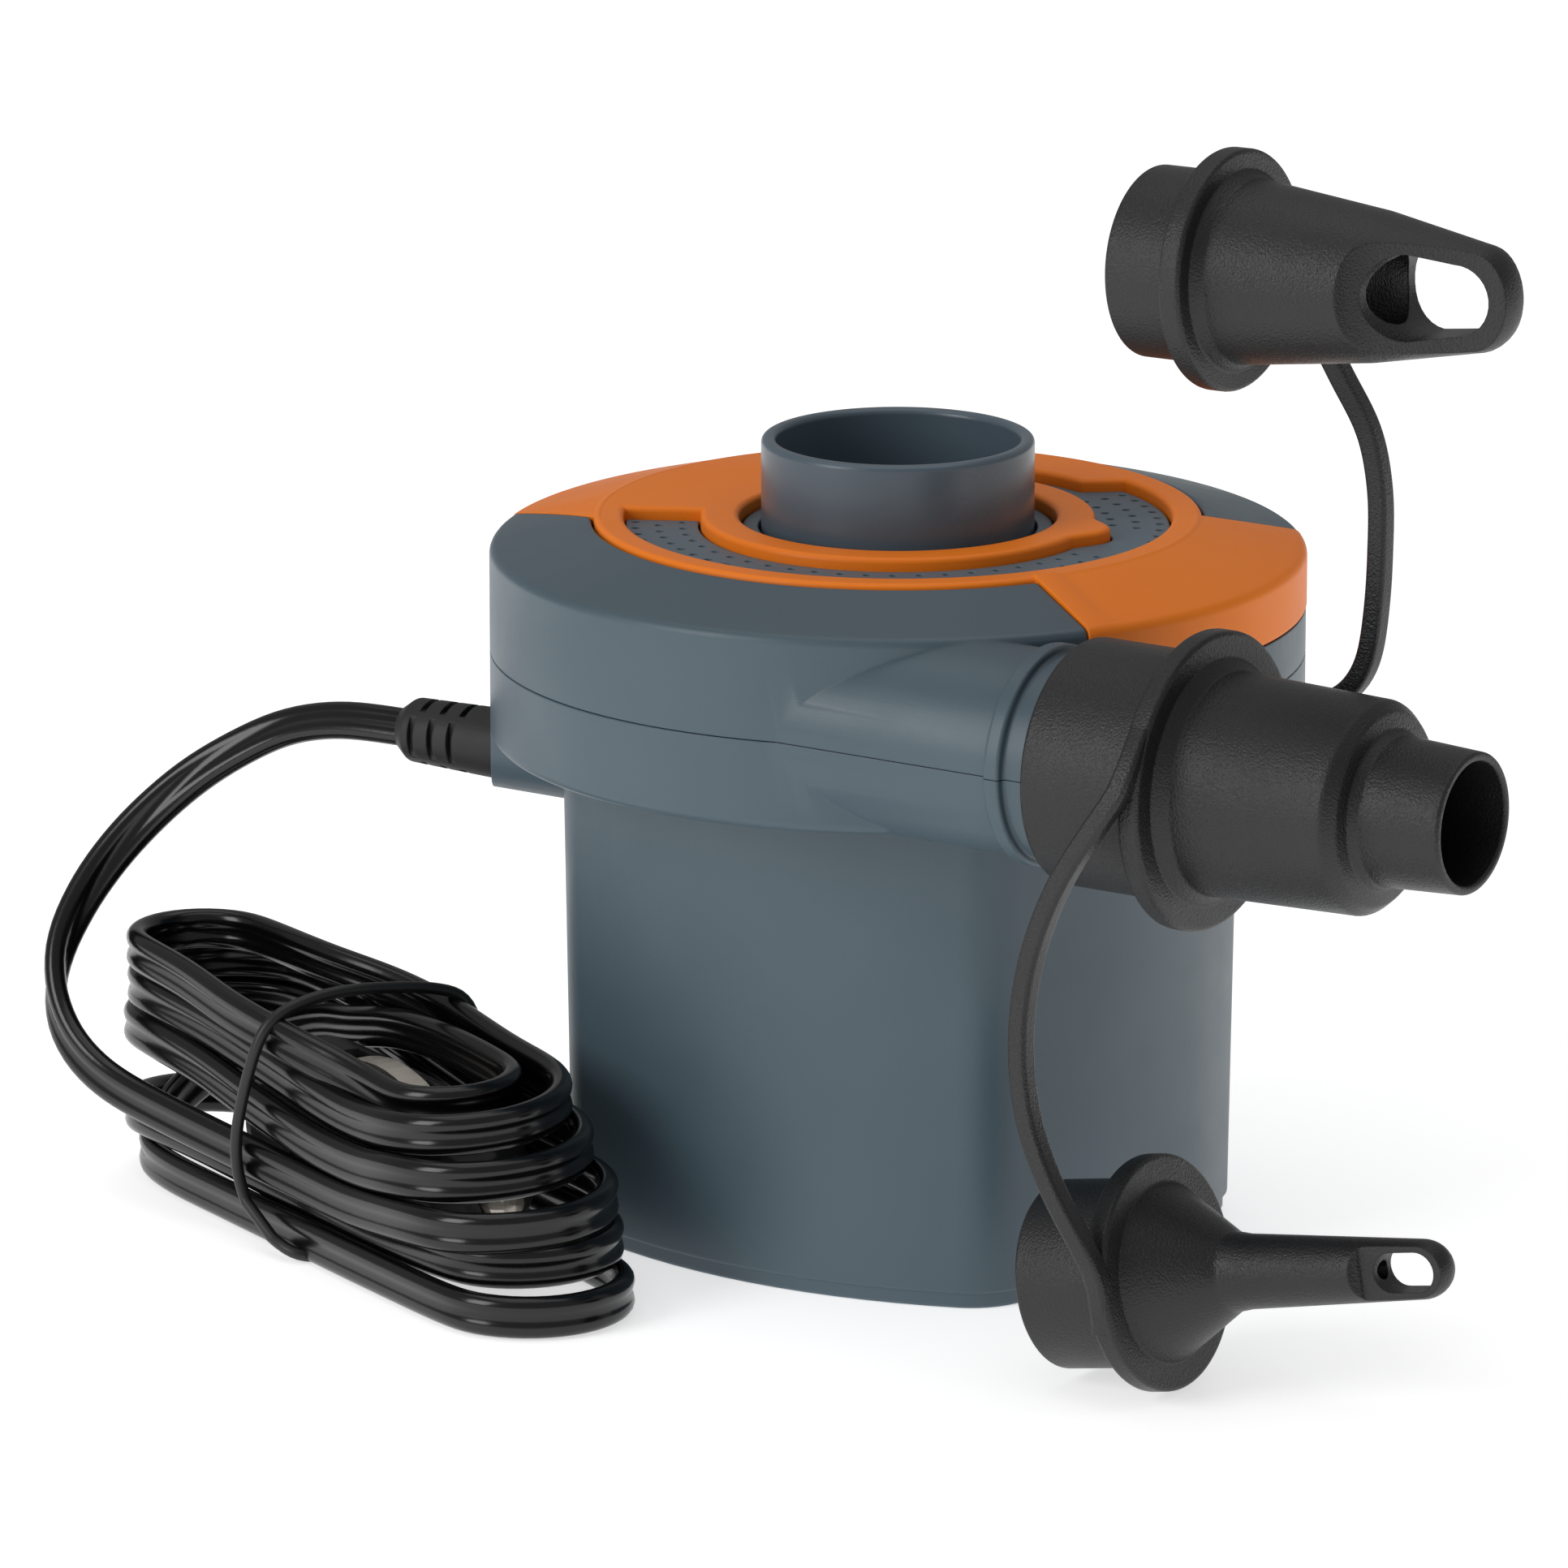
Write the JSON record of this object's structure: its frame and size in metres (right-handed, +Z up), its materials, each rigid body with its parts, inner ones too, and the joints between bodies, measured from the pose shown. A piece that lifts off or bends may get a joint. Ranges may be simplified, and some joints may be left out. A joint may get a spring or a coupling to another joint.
{
  "type": "electric air mattress pump",
  "caption": "Electric air pump with a round impeller head on a rounded-square canister, a stepped outlet nozzle, tethered nozzle adapters and a tied lead with a car plug.",
  "frame": {"origin": "where the head's axis meets the plane of the canister's base, on which the pump stands", "axes": "+Z up through the head and intake collar, +X the way the outlet blows, -Y the side the outlet is on"},
  "size_m": [0.2174, 0.1268, 0.1548],
  "materials": {
    "housing": "moulded, fine satin texture",
    "trim": "moulded, satin",
    "grille": "satin, rows of small holes",
    "collar": "glossy",
    "nozzle_plastic": "fine spark-eroded grain",
    "black_plastic": "fine grain",
    "cord_jacket": "soft gloss",
    "red_lead": "soft gloss",
    "steel": "brushed",
    "nickel": "plated",
    "copper": "bare",
    "magnet": "sintered"
  },
  "bodies": {
    "root": {"lower_housing": "housing", "head_cover": "housing", "volute_plate": "housing", "orange_trim": "trim", "vent_grille": "grille", "intake_collar": "collar", "strain_relief": "black_plastic", "plug_body": "black_plastic", "plug_cap": "black_plastic", "motor_end_cap": "black_plastic", "cord_tie": "black_plastic", "power_cord": "cord_jacket", "cord_hank": "cord_jacket", "lead_black": "cord_jacket", "lead_red": "red_lead", "case_screw_1": "steel", "case_screw_2": "steel", "case_screw_3": "steel", "case_screw_4": "steel", "motor_can": "steel", "motor_screw_a": "steel", "motor_screw_b": "steel", "bearing_front": "steel", "bearing_rear": "steel", "plug_spring": "steel", "motor_terminal_a": "nickel", "motor_terminal_b": "nickel", "motor_magnet_a": "magnet", "motor_magnet_b": "magnet", "brush_a": "magnet", "brush_b": "magnet"},
    "rotor": {"motor_shaft": "steel", "armature_core": "steel", "armature_winding": "copper", "commutator": "copper", "impeller": "black_plastic", "impeller_nut": "steel"},
    "nozzle": {"main_nozzle": "nozzle_plastic"},
    "upper_tether": {"upper_strap": "nozzle_plastic", "upper_adapter": "nozzle_plastic"},
    "lower_tether": {"lower_strap": "nozzle_plastic", "lower_adapter": "nozzle_plastic"},
    "plug_tip": {"plug_tip_contact": "nickel"},
    "leaf_top": {"plug_leaf_top": "nickel"},
    "leaf_bottom": {"plug_leaf_bottom": "nickel"}
  },
  "joints": [
    {"name": "rotor_spin", "type": "hinge", "parent": "root", "child": "rotor", "pos_m": [0, 0, 0.04], "axis": [0, 0, 1], "continuous": true},
    {"name": "nozzle_pull", "type": "slide", "parent": "root", "child": "nozzle", "axis": [1, 0, 0], "range_m": [0, 0.017]},
    {"name": "upper_tether_bend", "type": "hinge", "parent": "nozzle", "child": "upper_tether", "pos_m": [0.0718, -0.0197, 0.0824], "axis": [0, 1, 0], "range_deg": [-20, 40], "stiffness_Nm_per_rad": 0.08},
    {"name": "lower_tether_bend", "type": "hinge", "parent": "nozzle", "child": "lower_tether", "pos_m": [0.069, -0.0566, 0.0796], "axis": [0, -1, 0], "range_deg": [-3, 60], "stiffness_Nm_per_rad": 0.08},
    {"name": "plug_tip_press", "type": "slide", "parent": "root", "child": "plug_tip", "axis": [-0.9128, 0.4083, 0], "range_m": [0, 0.003], "stiffness_N_per_m": 400},
    {"name": "leaf_top_press", "type": "hinge", "parent": "root", "child": "leaf_top", "pos_m": [-0.05767, -0.04026, 0.0212], "axis": [0.4083, 0.9128, 0], "range_deg": [0, 6], "stiffness_Nm_per_rad": 0.2},
    {"name": "leaf_bottom_press", "type": "hinge", "parent": "root", "child": "leaf_bottom", "pos_m": [-0.05767, -0.04026, 0.0032], "axis": [-0.4083, -0.9128, 0], "range_deg": [0, 6], "stiffness_Nm_per_rad": 0.2}
  ]
}
